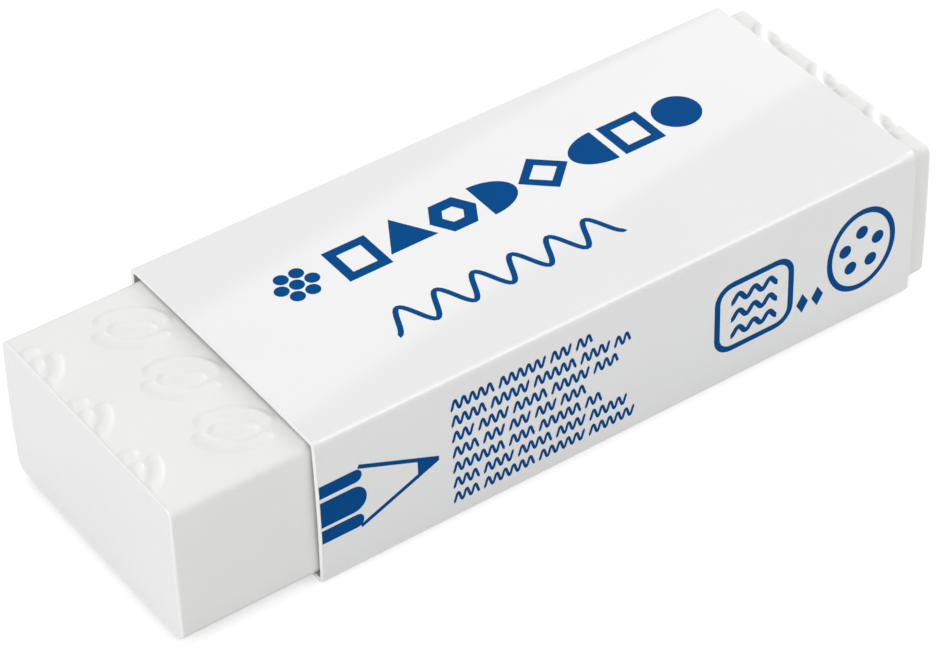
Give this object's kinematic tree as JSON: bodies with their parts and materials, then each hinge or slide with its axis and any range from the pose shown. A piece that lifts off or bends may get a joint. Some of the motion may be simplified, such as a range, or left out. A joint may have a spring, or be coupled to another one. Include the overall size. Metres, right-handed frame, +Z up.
{
  "type": "plastic eraser",
  "caption": "Rectangular vinyl block eraser that slides lengthwise in a folded and glued card sleeve, with both ends of the block standing out of it.",
  "frame": {"origin": "centre of the bounding box at the sleeve's underside, with the sleeve resting on z = 0", "axes": "+X along the block towards the end that stands out less, +Y across it towards the sleeve's glued lap, +Z up out of the top face that carries the raised leaves"},
  "size_m": [0.065, 0.0236, 0.0131],
  "materials": {
    "vinyl": "soft matte white vinyl with cut ends",
    "card": "gloss coated white card, printed in one dark blue ink"
  },
  "bodies": {
    "sleeve": {"sleeve": "card"},
    "eraser": {"eraser": "vinyl"}
  },
  "joints": [
    {"name": "eraser_slide", "type": "slide", "parent": "sleeve", "child": "eraser", "axis": [1, 0, 0], "range_m": [-0.0545, 0.0635]}
  ]
}
